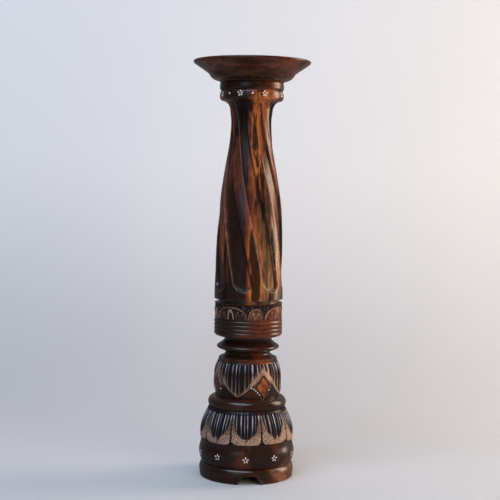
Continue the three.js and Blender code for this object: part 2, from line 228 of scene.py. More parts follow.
def bored(wall):
    """Closes a wall into the outline of a ring round the long dowel."""
    low, high = wall[0][1], wall[-1][1]
    return [*wall, *line((BORE, high), (BORE, low), 20), (BORE, low)]


# ---- Meshes ----


def smooth(value):
    value = np.clip(value, 0, 1)
    return value * value * (3 - 2 * value)


def across(turn, first, count):
    """Place in a repeat, from -1 to 1, and the number of the repeat."""
    place = (turn - first) * count / 360
    number = np.round(place)
    return 2 * (place - number), number.astype(int)


def waver(turn, height, seed):
    """A slow hand-made unevenness, from -1 to 1."""
    total = 0.0
    for k, (f, g) in enumerate([(3, 0.021), (5, 0.047), (9, 0.083)]):
        phase = seed * 1.7 + k * 2.1
        total = total + np.sin(np.radians(turn * f) + phase + height * g) / (k + 1)
    return total / 1.8


def shaded(mesh, sharp=SHARP):
    mesh.shade_smooth()
    mesh.set_sharp_from_angle(angle=sharp)


def linked(name, data):
    """A new object in the scene."""
    thing = bpy.data.objects.new(name, data)
    bpy.context.scene.collection.objects.link(thing)
    return thing


def keep(name, mesh, material, slot, *nodes):
    """Puts a finished mesh in the scene as a piece that stands for CAD nodes."""
    piece = linked(name, mesh)
    mesh.materials.append(material)
    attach(piece, BODY)
    if nodes:
        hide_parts(*nodes)
    return piece


def turned(name, outline, segments, shape):
    """Sweeps an outline [(radius, height)] round Z and returns the mesh.

    shape(turn, radius, height) gives new turns, an offset to the radius and named marks for each
    point. An outline that starts on the axis ends there too, and any other one is closed.
    """
    radius, height = (np.repeat(side[:, None], segments, axis=1) for side in np.array(outline).T)
    turn = np.repeat(np.arange(segments)[None, :] * 360 / segments, len(outline), axis=0)
    turn, offset, marks = shape(turn, radius, height)
    r = radius + offset
    a = np.radians(turn)
    points = np.stack([r * np.sin(a), -r * np.cos(a), height], axis=-1).reshape(-1, 3) * MM
    index = np.arange(radius.size).reshape(radius.shape)
    closed = outline[0][0] > 0
    first, last = (index, np.roll(index, -1, axis=0)) if closed else (index[:-1], index[1:])
    first, last = first[:, :, None], last[:, :, None]
    quads = np.concatenate(
        [first, np.roll(first, -1, axis=1), np.roll(last, -1, axis=1), last], axis=2
    ).reshape(-1, 4)
    mesh = bpy.data.meshes.new(name)
    mesh.from_pydata(points.tolist(), [], quads.tolist())
    for mark, values in marks.items():
        layer = mesh.attributes.new(mark, "FLOAT", "POINT")
        layer.data.foreach_set("value", np.ascontiguousarray(values, np.float32).ravel())
    weld(mesh)
    shaded(mesh)
    return mesh


def plain_piece(node, outline, wood, segments=SEGMENTS, **wear_and_light):
    """Makes a piece with no carving, from the seed, the sapwood and the painted light and shade that
    its settings give.
    """
    return turned_piece(node, outline, segments, partial(plain_turning, **wear_and_light), wood)


def turned_piece(node, outline, segments, shape, wood, slot="dark_wood"):
    """Makes the wood that stands for a CAD node."""
    name = node + "_wood"
    return keep(name, turned(name, outline, segments, shape), wood, slot, node)


def weld(mesh):
    """Joins points that meet on the axis, and faces the mesh outwards."""
    work = bmesh.new()
    work.from_mesh(mesh)
    on_axis = [v for v in work.verts if math.hypot(v.co.x, v.co.y) < 1e-6]
    bmesh.ops.remove_doubles(work, verts=on_axis, dist=1e-6)
    face_outwards(work, mesh)


def face_outwards(work, mesh):
    """Writes a bmesh into a mesh, with its faces outwards, and frees it."""
    bmesh.ops.recalc_face_normals(work, faces=work.faces)
    work.to_mesh(mesh)
    work.free()


# ---- Shader nodes ----


class Tree:
    """A short way to add and join shader nodes."""

    def __init__(self, tree):
        self.tree = tree

    def add(self, kind, **settings):
        node = self.tree.nodes.new("ShaderNode" + kind)
        for name, value in settings.items():
            setattr(node, name, value)
        return node

    def feed(self, socket, value):
        if isinstance(value, bpy.types.NodeSocket):
            self.tree.links.new(value, socket)
        elif hasattr(value, "__len__") and len(value) == 3 and socket.type == "RGBA":
            socket.default_value = (*value, 1)
        else:
            socket.default_value = value

    def fill(self, sockets, **values):
        """Feeds sockets by name, with _ for a space."""
        for name, value in values.items():
            self.feed(sockets[name.replace("_", " ")], value)

    def maths(self, operation, *values, clamp=False):
        node = self.add("Math", operation=operation, use_clamp=clamp)
        for socket, value in zip(node.inputs, values):
            self.feed(socket, value)
        return node.outputs[0]

    def times(self, a, b):
        return self.maths("MULTIPLY", a, b)

    def plus(self, a, b):
        return self.maths("ADD", a, b)

    def mix(self, share, low, high, blend="MIX"):
        node = self.add("Mix", data_type="RGBA", blend_type=blend)
        for socket, value in ((0, share), (6, low), (7, high)):
            self.feed(node.inputs[socket], value)
        return node.outputs[2]

    def stretch(self, value, low, high, to_low=0.0, to_high=1.0):
        node = self.add("MapRange", interpolation_type="SMOOTHSTEP")
        for socket, number in zip(node.inputs, (value, low, high, to_low, to_high)):
            self.feed(socket, number)
        return node.outputs[0]

    def noise(self, vector, scale, detail=3.0, roughness=0.55, stretch=(1, 1, 1), shift=0.0):
        mapping = self.add("Mapping")
        self.feed(mapping.inputs["Vector"], vector)
        mapping.inputs["Scale"].default_value = stretch
        mapping.inputs["Location"].default_value = (shift, shift * 0.7, shift * 1.3)
        node = self.add("TexNoise")
        vector = mapping.outputs[0]
        self.fill(node.inputs, Vector=vector, Scale=scale, Detail=detail, Roughness=roughness)
        return node.outputs["Fac"]

    def object_place(self):
        return self.add("TexCoord").outputs["Object"]

    def mark(self, name):
        return self.add("Attribute", attribute_name=name).outputs["Fac"]


def group_tree(name, inputs, outputs):
    """A new node group, with the names of its sockets by kind, and its own end nodes."""
    tree = bpy.data.node_groups.new(name, "ShaderNodeTree")
    for way, sockets in (("INPUT", inputs), ("OUTPUT", outputs)):
        for kind, names in sockets.items():
            for socket in names.split():
                tree.interface.new_socket(name=socket, in_out=way, socket_type="NodeSocket" + kind)
    given = tree.nodes.new("NodeGroupInput").outputs
    return Tree(tree), given, tree.nodes.new("NodeGroupOutput").inputs


def wood_figure():
    """Streaks and grain that run along the wood, in three stains, and paler sapwood."""
    name = "wood_figure"
    if name in bpy.data.node_groups:
        return bpy.data.node_groups[name]
    t, given, out = group_tree(
        name,
        {"Vector": "Place", "Color": "Dark Middle Bright Sapwood", "Float": "Brightness Streaks Sap"},
        {"Color": "Color", "Float": "Grain"},
    )
    place = given["Place"]
    broad = t.noise(place, 21, 2, 0.5, shift=3.1)
    narrow = t.noise(place, 70, 3, 0.6, shift=8.4)
    fine = t.noise(place, 230, 2, 0.6, shift=4.6)
    grain = t.noise(place, 900, 2, 0.6, shift=1.7)
    figure = t.plus(t.times(broad, 0.62), t.times(narrow, 0.26))
    figure = t.plus(figure, t.times(fine, 0.12))
    figure = t.plus(figure, given["Brightness"])
    body = t.mix(t.stretch(figure, 0.41, 0.54), given["Dark"], given["Middle"])
    body = t.mix(t.stretch(figure, 0.53, 0.68), body, given["Bright"])
    sap = t.times(given["Sap"], t.stretch(narrow, 0.38, 0.56, 0.25, 1.0))
    body = t.mix(sap, body, given["Sapwood"])
    streak = t.times(t.stretch(narrow, 0.53, 0.61), given["Streaks"])
    body = t.mix(streak, body, t.mix(0.8, given["Dark"], (0, 0, 0)))
    body = t.mix(t.times(t.stretch(fine, 0.52, 0.62), 0.6), body, given["Dark"])
    t.feed(out["Color"], t.mix(1.0, body, t.stretch(grain, 0.3, 0.7, 0.74, 1.2), "MULTIPLY"))
    t.feed(out["Grain"], grain)
    return t.tree


def rubbed_carving():
    """Stain and painted shade in the hollows, a painted highlight on the ridges, and bare wood on the
    punched borders.
    """
    name = "rubbed_carving"
    if name in bpy.data.node_groups:
        return bpy.data.node_groups[name]
    t, given, out = group_tree(
        name,
        {"Color": "Color Stain Bare Ridge", "Float": "Crest Hollow Raw"},
        {"Color": "Color", "Float": "Roughness Height"},
    )
    place = t.object_place()
    patch = t.noise(place, 110, 3, 0.6, shift=5.2)
    speck = t.noise(place, 700, 2, 0.65, shift=2.6)
    # The hollows take the dark colour of pooled stain and painted shade.
    hollow = t.times(given["Hollow"], t.stretch(patch, 0.25, 0.6, 0.8, 1.0))
    body = t.mix(hollow, given["Color"], given["Stain"])
    # Painted highlight: the crests of the ridges are lightened towards the ridge colour.
    ridge = t.times(given["Crest"], t.stretch(patch, 0.36, 0.6, 0.5, 1.0))
    body = t.mix(ridge, body, given["Ridge"])
    wear_and_light = t.times(given["Raw"], t.stretch(speck, 0.34, 0.56, 0.3, 1.0))
    wear_and_light = t.times(wear_and_light, t.stretch(patch, 0.3, 0.55, 0.7, 1.0))
    t.feed(out["Color"], t.mix(wear_and_light, body, given["Bare"]))
    matt = t.plus(t.times(wear_and_light, 0.25), t.times(hollow, 0.35))
    matt = t.maths("SUBTRACT", matt, t.times(given["Crest"], 0.12))
    t.feed(out["Roughness"], t.plus(t.stretch(patch, 0.3, 0.7, 0.24, 0.40), matt))
    t.feed(out["Height"], t.times(speck, 0.3))
    return t.tree


def principled(name, **constants):
    """A material with one Principled shader, and its tree."""
    material = bpy.data.materials.new(name)
    material.use_nodes = True
    shader = material.node_tree.nodes["Principled BSDF"]
    tree = Tree(material.node_tree)
    tree.fill(shader.inputs, **constants)
    return material, tree, shader.inputs


def place_group(tree, group, **values):
    node = tree.add("Group")
    node.node_tree = group
    tree.fill(node.inputs, **values)
    return node.outputs


def bumped(tree, height, distance):
    node = tree.add("Bump")
    tree.fill(node.inputs, Height=height, Distance=distance)
    return node.outputs[0]


def along(tree, stretch, lean=(0, 0, 0)):
    """Object coordinates drawn out along the grain, then leant over."""
    mapping = tree.add("Mapping")
    tree.feed(mapping.inputs["Vector"], tree.object_place())
    mapping.inputs["Scale"].default_value = stretch
    mapping.inputs["Rotation"].default_value = lean
    return mapping.outputs[0]


def stained_wood(name, brightness, streaks, stretch, lean=(0, 0, 0), coat=0.6, highlit_ridges=False):
    """Glossy stained wood that follows the marks of the carving, with the painted light, shade and
    highlights that they carry.
    """
    if name in bpy.data.materials:
        return bpy.data.materials[name]
    finish = bpy.context.scene.candlestick_finish
    material, tree, inputs = principled(name, Coat_Roughness=0.21, IOR=1.28)
    # The glow mark lifts or lowers the figure: wood tone, and painted light on lit sides and painted
    # shade on the others.
    lifted = tree.times(tree.mark("glow"), 0.22)
    figure = place_group(
        tree, wood_figure(), Place=along(tree, stretch, lean), Dark=finish.dark_stain,
        Middle=finish.red_stain, Bright=finish.orange_stain, Sapwood=finish.sapwood,
        Streaks=streaks, Brightness=tree.plus(lifted, brightness), Sap=tree.mark("sap"),
    )
    # The hollows get stain and painted shade, and on carved pieces and the column the ridges get a
    # painted highlight.
    carved = place_group(
        tree, rubbed_carving(), Color=figure["Color"], Stain=finish.hollow_stain_and_shade,
        Bare=finish.rubbed_wood, Ridge=finish.ridge_highlight if highlit_ridges else finish.red_stain,
        Crest=tree.mark("crest"), Hollow=tree.mark("hollow"), Raw=tree.mark("raw"),
    )
    lost = tree.times(tree.plus(tree.mark("raw"), tree.mark("hollow")), 0.8)
    kept = tree.maths("SUBTRACT", 1.0, lost, clamp=True)
    height = tree.plus(carved["Height"], tree.times(figure["Grain"], 0.5))
    tree.fill(
        inputs, Base_Color=carved["Color"], Roughness=carved["Roughness"],
        Coat_Weight=tree.times(kept, coat), Normal=bumped(tree, height, GRAIN_DEPTH),
    )
    return material


def turned_wood():
    return stained_wood(
        "dark_turned_wood", brightness=-0.035, streaks=0.25, stretch=(0.6, 0.6, 0.75),
        lean=(0.5, 0.35, 0.8), coat=0.8,
    )


def board_wood():
    """Wood of the dish and the neck ring, which are turned from a board with its grain across."""
    return stained_wood("dark_board_wood", brightness=-0.03, streaks=0.7, stretch=(0.14, 0.8, 1.3))


def column_wood():
    return stained_wood(
        "fluted_column_wood", brightness=0.02, streaks=0.9, stretch=(1, 1, 0.11), coat=0.55,
        highlit_ridges=True,
    )


def carved_wood():
    return stained_wood(
        "carved_petal_wood", brightness=-0.05, streaks=0.3, stretch=(0.8, 0.8, 0.5),
        lean=(0.4, 0.5, 0.3), coat=0.7, highlit_ridges=True,
    )


def bare_wood():
    name = "bare_dowel_wood"
    if name in bpy.data.materials:
        return bpy.data.materials[name]
    f = bpy.context.scene.candlestick_finish
    material, tree, inputs = principled(name, IOR=1.45)
    figure = place_group(
        tree, wood_figure(), Place=along(tree, (1, 1, 0.1)), Dark=f.sapwood,
        Middle=f.rubbed_wood, Bright=f.rubbed_wood, Sapwood=f.rubbed_wood, Brightness=0.05,
    )
    matt = tree.stretch(figure["Grain"], 0.2, 0.8, 0.55, 0.75)
    normal = bumped(tree, figure["Grain"], DOWEL_GRAIN_DEPTH)
    tree.fill(inputs, Base_Color=figure["Color"], Roughness=matt, Normal=normal)
    return material


def steel():
    name = "bright_steel"
    if name in bpy.data.materials:
        return bpy.data.materials[name]
    material, tree, inputs = principled(name, Metallic=1.0)
    scratches = tree.noise(tree.object_place(), 900, 3, 0.6, (1, 0.12, 1))
    grey = tree.mix(scratches, (0.42, 0.42, 0.43), (0.56, 0.56, 0.57))
    matt = tree.stretch(scratches, 0.25, 0.75, 0.24, 0.42)
    tree.fill(inputs, Base_Color=grey, Roughness=matt)
    return material


def white_paint():
    name = "white_paint"
    if name in bpy.data.materials:
        return bpy.data.materials[name]
    paint = bpy.context.scene.candlestick_finish.paint
    material, tree, inputs = principled(name, IOR=1.5)
    thin = tree.noise(tree.object_place(), 700, 3, 0.6)
    white = tree.mix(tree.stretch(thin, 0.66, 0.8), paint, (0.80, 0.73, 0.67))
    matt = tree.stretch(thin, 0.3, 0.7, 0.35, 0.55)
    tree.fill(inputs, Base_Color=white, Roughness=matt)
    return material


# ---- Outer walls of the pieces, from the bottom up ----


def foot_wall():
    low, high, r = room("foot_ring")
    return path(
        (r - 2.2, low),
        (0.7, (r - 1.2, low + 0.9)),
        (1.2, (r, low + 11)),
        (0.8, (r, low + 16), (r - 2.1, high - 0.5), (r - 5.1, high)),
    )


PETAL_TIP = 35.5  # height of the petal tips over the bottom of the domed base


def base_wall():
    low, high, r = room("lotus_base")
    tip = low + PETAL_TIP
    return path(
        (r - 5.7, low),
        (0.75, (r - 2.2, low + 2), (r - 0.6, low + 8), (r, low + 15)),
        (0.75, (r + 0.2, low + 21), (r - 1.2, low + 28), (r - 1.4, tip)),
        (0.75, (r - 0.4, tip + 15.5), (r - 3.6, tip + 27.5), (r - 14, high)),
    )


def torus_wall():
    low, high, r = room("torus_ring")
    tube, middle = 8.8, low + 6.4
    start = math.degrees(math.asin((low - middle) / tube))
    end = math.degrees(math.asin((high - middle) / tube))
    top = (r - tube + tube * math.cos(math.radians(end)), high)
    return [*arc((r - tube, middle), tube, start, end, 0.5), top]


def bulb_wall():
    low, high, r = room("lotus_bulb")
    return path(
        (r - 2.2, low),
        (0.75, (r - 0.6, low + 5), (r, low + 10), (r, low + 17)),
        (0.75, (r, low + 37), (r - 1, low + 44), (r - 5.8, low + 52.2)),
        (0.6, (r - 6.9, low + 53.2)),
        (0.8, (r - 6.9, high - 1)),
        (0.6, (r - 7.9, high)),
    )


def spool_wall():
    low, high, r = room("waist_spool")
    neck, top = r - 12.6, r - 11.2
    return path(
        (neck + 7, low),
        (0.6, (neck, low + 4), (neck, low + 6.5)),
        (0.6, (neck, low + 9.5), (r - 5.2, low + 11.4)),
        (0.6, (r - 1.6, low + 13.1)),
        (0.4, (r, low + 13.9), (r, low + 15.4)),
        (0.4, (r, low + 16.7), (r - 1.6, low + 17.9)),
        (0.6, (r - 9.2, low + 22.5), (top, low + 26)),
        (0.8, (top + 1.6, high)),
    )


def reeded_wall(reeds):
    low, high, r = room("reeded_band")
    depth, pitch, start = 1.4, 5.6, low + 2.3
    groove = r - depth
    wall = [
        *line((groove - 4, low), (groove - 0.6, start - 1.1), 0.7),
        *line((groove - 0.6, start - 1.1), (groove, start), 0.7),
    ]
    steps = 12
    for reed in range(reeds):
        for i in range(steps):
            rise = depth * math.sin(math.pi * i / steps) ** 0.6
            wall.append((groove + rise, start + pitch * (reed + i / steps)))
    top = start + pitch * reeds
    end = (r - 0.2, high)
    return [*wall, *quad((groove, top), (groove + 0.2, high - 0.4), end, 0.5), end]


def band_wall():
    low, high, r = room("carved_band")
    return path(
        (r - 1.7, low),
        (0.5, (r - 1.2, low + 7.5)),
        (0.5, (r, low + 13.5)),
        (0.5, (r, high - 1.4)),
        (0.4, (r, high - 0.4), (r - 1.2, high)),
    )


SPIGOT = 5.0  # height of the column's spigot, which stands in the gap over the band


def column_wall():
    """From the spigot up to the top of the collar."""
    low, _, r = room("column")
    foot = low + SPIGOT
    profile = [
        (r, foot + 1), (r - 1.1, foot + 60), (r - 2.5, foot + 104), (r - 5.8, foot + 145),
        (r - 11.7, foot + 183), (r - 18.1, foot + 222), (r - 20.7, foot + 253),
        (r - 18.5, foot + 274),
    ]
    rim = r - 3.7
    return [
        *path(
            (r - 7, low),
            (1.5, (r - 7, foot - 0.6)),
            (0.4, (r - 7, foot), (r - 6.4, foot)),
            (1, (r - 1.2, foot)),
            (0.4, (r, foot), profile[0]),
        )[:-1],
        *through(profile, (0.9, 1.9, 1.9, 1.9, 1.9, 1.8, 1.1)),
        *path(
            profile[-1],
            (1, (rim - 13.2, foot + 278)),
            (0.6, (rim - 10.3, foot + 283.5), (rim - 4.3, foot + 284.6)),
            (0.6, (rim - 0.4, foot + 285.4), (rim, foot + 289.5)),
            (0.6, (rim + 0.4, foot + 297), (rim - 2.3, foot + 299)),
        ),
    ]


def neck_wall():
    low, high, r = room("neck_ring")
    return path(
        (r - 2.5, low),
        (0.5, (r + 0.6, low + 1), (r, low + 6)),
        (0.5, (r, high - 1), (r - 1.6, high)),
    )


def reached(wall, height):
    """Radius of a wall at a height."""
    heights = [p[1] for p in wall]
    return float(np.interp(height, heights, [p[0] for p in wall]))


# ---- Carving ----


def peak(value, width):
    """1 where a value is 0, falling to 0 on both sides."""
    return np.exp(-((value / width) ** 2))


def limited(value):
    return np.clip(value, 0, 1)


def outside(radius):
    """Whether a point is on the outer wall, clear of the bore."""
    return radius > BORE + 2


def plain(turn, radius, height, seed):
    """Slight unevenness of hand sanding, and the marks of a surface with no carving."""
    offset = waver(turn, height, seed) * SANDING * outside(radius)
    return offset, {"crest": radius * 0, "hollow": radius * 0, "raw": radius * 0}


def outline_marks(radius):
    """Marks the rubbed arrises, and the grooves of a turned outline, which the hollow mark darkens
    with stain and painted shade.
    """
    reach = 3
    profile = radius[:, 0]
    window = np.ones(2 * reach + 1) / (2 * reach + 1)
    lead = profile - np.convolve(np.pad(profile, reach, mode="edge"), window, mode="valid")
    lead = lead[:, None] * 1.6
    return limited(lead) * outside(radius), limited(-lead) * outside(radius)


def turned_from(turn, middle):
    """Degrees round from a middle, from -180 to 180."""
    return (turn - middle + 180) % 360 - 180


def painted_side_light(turn, dark, bright, middle=62, half=45):
    """Painted light: lighter round a middle turn, on the side where the light falls, and a little
    lighter on the opposite side too.
    """
    near, far = (peak(turned_from(turn, middle + round_to), half) for round_to in (0, 190))
    return dark + (bright - dark) * (near + 0.6 * far)


def plain_turning(turn, radius, height, seed, dark=0.0, bright=0.0, middle=62, sap=0.0):
    """Marks of a plain turning, with painted light that makes it paler round a middle turn and darker
    away from it.
    """
    offset, marks = plain(turn, radius, height, seed)
    crest, hollow = outline_marks(radius)
    marks["crest"] = crest * 0.3
    marks["hollow"] = hollow * 0.7
    marks["glow"] = painted_side_light(turn, dark, bright, middle)
    patchy = smooth(waver(turn * 3, height * 6, seed) * 1.2 + 0.4)
    marks["sap"] = sap * peak(turned_from(turn, middle), 30) * patchy
    return turn, offset, marks


def gouges(place, depth):
    """A scalloped cut: place runs from -1 to 1 over each gouge, with a sharp ridge at its ends."""
    return -depth * (1 - np.abs(place) ** 2.2)


def repeated(place):
    """Place from -1 to 1 inside each gouge of a row, the number of its ridge, and nearness to it."""
    place = place + 0.16 * np.sin(place * 2.3 + 0.8)
    inside = 2 * (place - np.round(place))
    return inside, np.floor(place), smooth((np.abs(inside) - 0.68) / 0.24)


def punched(turn, height, pitch=3.0):
    """Dents of a small round punch, from 0 to 1, about a pitch apart."""
    carved_radius = 66
    cycles = np.round(2 * np.pi * carved_radius / pitch)
    row = height / pitch
    a = np.radians(turn * cycles) + np.pi * np.round(row) + 0.9 * np.sin(row * 1.7)
    b = np.pi * (row + 0.22 * np.sin(np.radians(turn * 61)))
    dent = (np.cos(a) * 0.5 + 0.5) * np.abs(np.cos(b))
    return smooth((dent - 0.28 - 0.12 * np.sin(row * 2.9 + a * 0.37)) / 0.3)


def carve_petals(carving, turn, radius, height):
    low, high, _ = room("lotus_base")
    tip = low + PETAL_TIP
    first = -0.3
    count = 7
    tight = 2.4  # the petals are marked out a little tight at the front
    offset, marks = plain(turn, radius, height, 2.0)
    drawn = turn + tight * np.sin(np.radians(turn))
    a, number = across(drawn, first, carving.petals)
    side = np.abs(a)
    rise = height - tip - 0.8 * np.sin(number * 2.1)
    curve = 8.0 * (1 - np.sqrt(np.clip(1 - (side / 0.965) ** 6, 0, 1)))
    gap = 0.93 + 0.035 * smooth(rise / 26)
    petal = smooth(rise - curve + 0.5) * smooth((gap - side) / 0.03 + 0.5)
    lip = smooth((high - 3.5 - height) / 1.5)
    on_dome = (radius > 40) & (height > low + 8)
    plain_fall = -carving.petal_relief * smooth((height - low - 18) / 12)
    gap_fall = -carving.petal_relief * 2.0 * smooth((rise - 1) / 6)
    fallen = np.minimum(plain_fall, gap_fall * (rise > 0))
    # Gouges run down the petal, drawn together, and stop short of its punched border.
    reed, which, ridge = repeated(a * count / 1.86 * (1.28 - 0.28 * smooth(rise / 40)))
    uneven = np.sin(which * 2.7 + number * 1.3)
    lower = 6.0 + 34 * side**2.3 + 1.8 * uneven
    cut = smooth((rise - lower) / 5.0) * (side < gap)
    carved = gouges(reed, carving.gouge_depth) * cut
    vein = peak(a, 1 / 26) * smooth((rise - 0.4) / 1.5) * (1 - cut)
    border = petal * (1 - smooth((rise - lower + 0.5) / 3.5))
    dent = punched(turn, height) * border * (1 - vein)
    top = carved - 0.8 * vein - 0.4 * dent
    relief = (petal * top + (1 - petal) * fallen) * lip * on_dome
    # Painted highlight: the ridges between the gouges are brighter higher up the petal, where they
    # tilt up to the light.
    bright = (0.15 + 0.85 * smooth((rise - 15) / 17)) * (0.62 + 0.38 * uneven)
    marks["crest"] = ridge * cut * petal * bright * lip * on_dome
    # The punched border is paler near the tips, and paler still on the side where the light falls,
    # which is painted light.
    wear_and_light = 0.95 - 0.6 * smooth((rise - 9) / 14) + painted_side_light(turn, -0.08, 0.2, 60)
    marks["raw"] = limited(border * wear_and_light * (1 - 0.9 * dent) * (1 - 0.8 * vein)) * on_dome
    # The gouges, the gaps between the petals and the punched dents are darkened with stain and
    # painted shade.
    open_gap = (1 - petal) * smooth(rise + 0.5)
    marks["hollow"] = limited(cut * petal * (1 - ridge) + open_gap + dent * 0.7) * on_dome
    # Painted shade: the petals are darker away from the side where the light falls.
    marks["glow"] = painted_side_light(turn, -0.3, 0.0, 30, 48)
    return turn, offset + relief, marks


DIAMOND_TURN = 28.5
DIAMOND_HALF_TURN = 13.0
DIAMOND_MIDDLE = 19.5  # over the bottom of the bulb
DIAMOND_HALF_HEIGHT = 15.0


def diamonds(turn, height, low, count):
    """A mask of the diamonds, and how far a point is out from the middle of the nearest one."""
    b, _ = across(turn, DIAMOND_TURN, count)
    near = np.abs(b) * 180 / count / DIAMOND_HALF_TURN
    far = np.abs(height - low - DIAMOND_MIDDLE) / DIAMOND_HALF_HEIGHT
    return smooth((1 - near - far) / 0.07 + 0.5), near + far


def carve_lappets(carving, turn, radius, height):
    low, _, r = room("lotus_bulb")
    first = -16.5
    top = low + 52
    tip = low + 4.5
    count = 12
    border_width = 9.0
    offset, marks = plain(turn, radius, height, 3.0)
    a, number = across(turn, first, carving.lappets)
    side = np.abs(a)
    on_bulb = (radius > r - 8) & (height > low + 1) & (height < top + 1)
    edge = tip + 32 * side**1.22
    inside = smooth(height - edge + 0.5)
    reed, which, ridge = repeated(a * count / 2)
    uneven = np.sin(which * 2.3 + number)
    wide = smooth((side - 0.25) / 0.4)
    width = border_width * (0.15 + 0.75 * wide)
    cut = smooth((height - edge - width) / 4.5) * smooth((top - height) / 1.3)
    carved = gouges(reed, carving.gouge_depth) * cut
    diamond, rhombus = diamonds(turn, height, low, carving.lappets)
    line_round = peak(rhombus - 1.1, 0.07)
    low_frame = peak(rhombus - 1.24, 0.07) * (1 - inside)
    ground = (1 - inside) * (1 - diamond)
    relief = inside * carved - ground * 1.5 - line_round * 0.8 + low_frame * 1.2
    relief = relief * on_bulb
    near_edge = peak(height - edge - 2 - 3.5 * wide, 3.2 + 4.6 * wide) * inside
    # Painted highlight: the ridges between the gouges are brighter near the top of the lappet, where
    # they tilt up to the light.
    bright = (0.08 + 0.92 * smooth((height - top + 16) / 12)) * (0.58 + 0.42 * uneven)
    raw = near_edge * (0.65 + 0.3 * uneven) * (1 - 0.8 * smooth(cut * 3) * (1 - ridge))
    raw += ridge * cut * smooth((edge + 28 - height) / 18) * (0.6 + 0.3 * uneven) * inside
    # Painted light: the pale wood is lighter on the side where the light falls and darker away from
    # it.
    raw = (raw + low_frame * 0.45) * (0.8 + painted_side_light(turn, -0.25, 0.2, 50))
    marks["raw"] = limited(raw) * on_bulb * (1 - line_round)
    marks["crest"] = limited(ridge * cut * bright) * on_bulb
    # The gouges, more near the top, the sunk ground and the engraved line round the diamonds are
    # darkened with stain and painted shade.
    dark = cut * (1 - ridge) * (0.75 + 0.25 * smooth((height - top + 18) / 10))
    marks["hollow"] = limited(dark * inside + ground * 0.4 + line_round) * on_bulb
    # Painted light: the diamonds and the ground are lighter on the side where the light falls, and
    # darker away from it.
    lit = painted_side_light(turn, 0.0, 0.5, 34, 36) + 0.25 * waver(turn * 5, height * 12, 4.0)
    ground_glow = painted_side_light(turn, -0.4, 0.3, 48, 38)
    marks["glow"] = (diamond * (1 - line_round) * lit + ground_glow * (1 - diamond)) * on_bulb
    return turn, offset + relief, marks


BAND_REPEATS = 4
# Middle, half width and reach of each leaf cut, as shares of the arch that it is in.
BIG_LEAVES = ((-0.02, 0.19, 0.76), (-0.52, 0.12, 0.55), (0.46, 0.1, 0.6), (0.74, 0.09, 0.45))
SMALL_LEAVES = ((-0.38, 0.26, 0.6), (0.38, 0.26, 0.6))
# Middle, half width, height, darkness, glow, sapwood and leaf cuts of each arch.
BAND_ARCHES = (
    (-31.5, 28.5, 17.4, 0.1, -0.2, 0.0, BIG_LEAVES),
    (13.0, 13.5, 15.8, 0.45, 0.35, 0.5, SMALL_LEAVES),
)


def carve_band(turn, radius, height):
    """Large and small arches in turn, with leaf cuts inside, over a punched ground."""
    low, high, r = room("carved_band")
    offset, marks = plain(turn, radius, height, 4.0)
    on_band = (radius > r - 4) & (height > low + 0.3) & (height < high - 0.6)
    relief, raw, sap, dark = (radius * 0 for _ in range(4))
    ground = radius * 0 + 1.0
    # Painted light: the band is lighter on the side where the light falls and darker away from it.
    glow = painted_side_light(turn, -0.35, 0.4, 48, 38)
    for middle, half, tall, arch_dark, arch_glow, arch_sap, leaves in BAND_ARCHES:
        a, _ = across(turn, middle, BAND_REPEATS)
        a = a * (180 / BAND_REPEATS) / half
        up = (height - low) / tall
        above = np.maximum(up, 0)
        out = np.abs(a) ** 2.4 + above**2.4
        inside = smooth((1 - out) / 0.12 + 0.5)
        rim = inside * smooth((out - 0.83) / 0.06)
        leaf = radius * 0
        for place, width, reach in leaves:
            loop = (np.abs(a - place) / width) ** 2 + (above / reach) ** 2
            leaf = np.maximum(leaf, peak(loop - 1, 0.26))
        leaf = leaf * inside * (1 - rim)
        field = inside * (1 - rim)
        relief += inside * (0.55 * leaf - 0.75 * (1 - rim) * (1 - leaf))
        raw = np.maximum(raw, rim * (0.42 + 0.15 * np.sin(a * 5 + middle)))
        stroke = smooth((0.95 - up) / 0.3) * (0.85 - 0.6 * smooth((np.abs(a) - 0.3) / 0.1))
        raw = np.maximum(raw, leaf * stroke)
        dark = np.maximum(dark, field * (1 - leaf) * arch_dark)
        glow = np.maximum(glow, inside * arch_glow - 2 * (1 - inside))
        sap = np.maximum(sap, field * arch_sap)
        ground = ground * (1 - inside)
    dent = punched(turn, height, 1.9)
    relief = (relief - ground * (1.3 + 0.5 * dent)) * on_band
    across_it = np.radians(turn * 61) + 2.2 * np.sin(height * 1.3)
    across_it = across_it + 1.7 * np.sin(np.radians(turn * 13))
    up_it = height * 2.4 + 1.5 * np.sin(np.radians(turn * 23))
    specks = ground * smooth((np.sin(across_it) * np.sin(up_it) - 0.8) / 0.15)
    marks["raw"] = limited(raw + specks * 0.9) * on_band
    # The arches' fields and the punched ground are darkened with stain and painted shade.
    marks["hollow"] = limited(dark + ground * 0.95 - specks) * on_band
    marks["glow"] = glow * on_band
    marks["sap"] = sap * on_band
    return turn, offset + relief, marks


